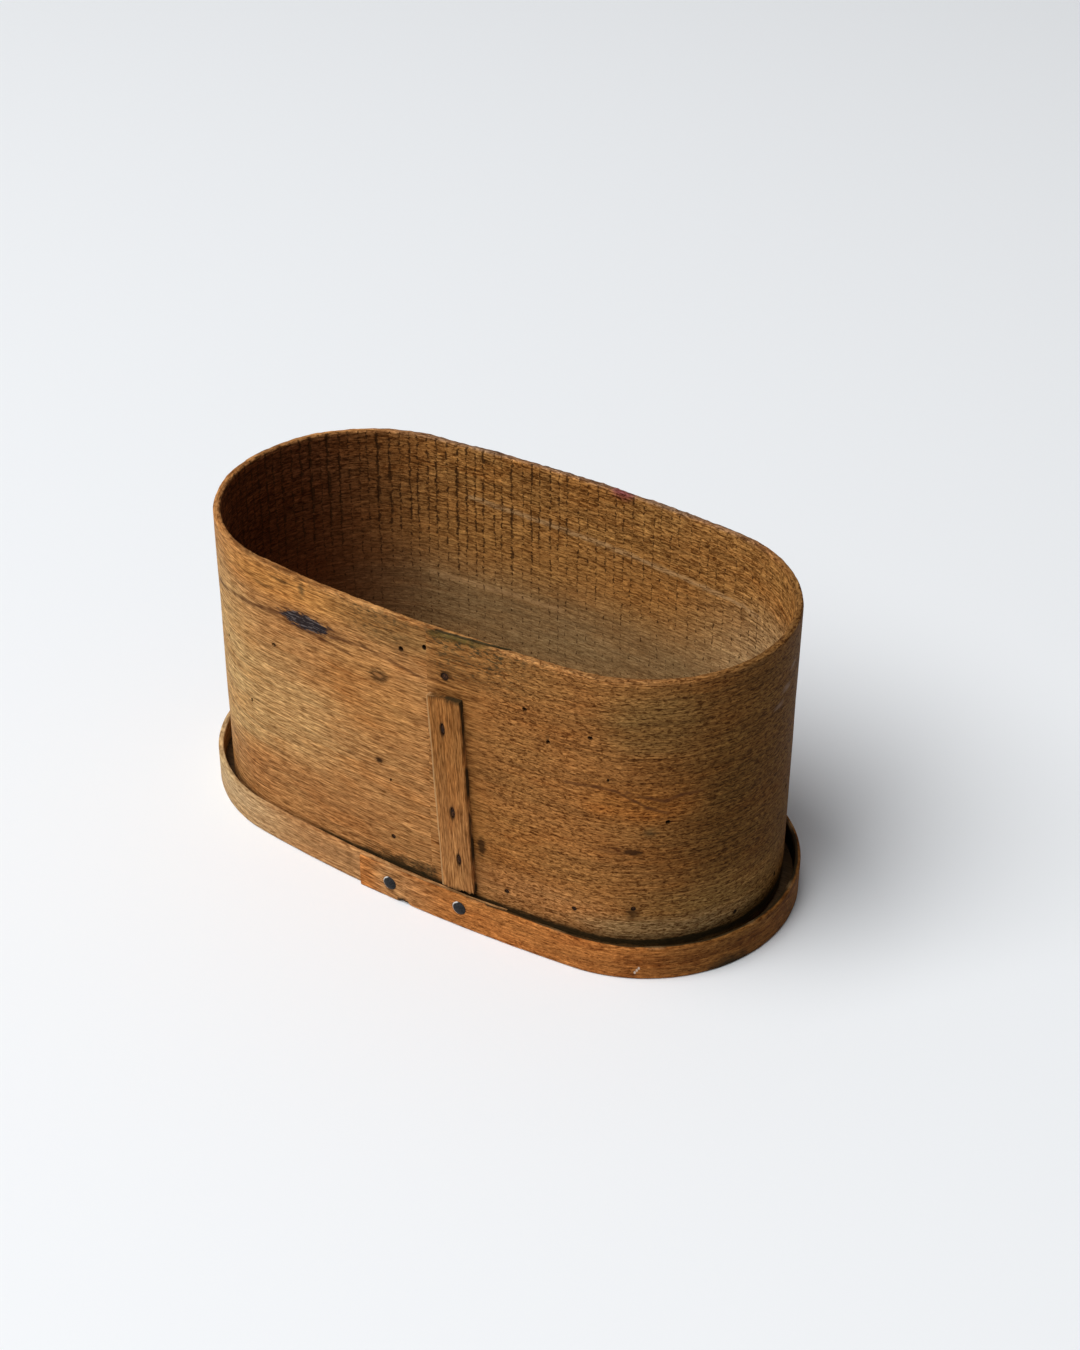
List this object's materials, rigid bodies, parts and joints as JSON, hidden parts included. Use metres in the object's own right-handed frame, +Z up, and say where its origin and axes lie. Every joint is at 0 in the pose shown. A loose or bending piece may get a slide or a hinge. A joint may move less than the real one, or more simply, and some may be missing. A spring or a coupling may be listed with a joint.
{
  "type": "wooden butter pot",
  "caption": "Open oval pot of thin bent wood with a lapped, nailed front seam under an upright cleat, standing loose in its own upturned lid.",
  "frame": {"origin": "on the table, under the middle of the lid", "axes": "+X along the oval, to the right as seen from the seam; +Y towards the back; +Z up"},
  "size_m": [0.2878, 0.1494, 0.1443],
  "materials": {
    "band_wood": "old honey-brown bent wood, worn and waxy",
    "bottom_wood": "dark stained board, matt",
    "cleat_wood": "split strip of old wood, matt",
    "hoop_wood": "old orange-brown bent wood, worn",
    "board_wood": "plain sawn board, matt",
    "nail_iron": "rusted iron",
    "tack_iron": "dark worn iron"
  },
  "bodies": {
    "lid": {"lid_hoop": "hoop_wood", "lid_board": "board_wood", "lid_tacks": "tack_iron"},
    "pot": {"pot_band": "band_wood", "pot_bottom": "bottom_wood", "pot_bottom_nails": "nail_iron", "seam_cleat": "cleat_wood", "seam_cleat_nails": "nail_iron", "seam_nail": "nail_iron"}
  },
  "joints": [
    {"name": "pot_lift", "type": "slide", "parent": "lid", "child": "pot", "axis": [0, 0, 1], "range_m": [0, 0.045]}
  ]
}
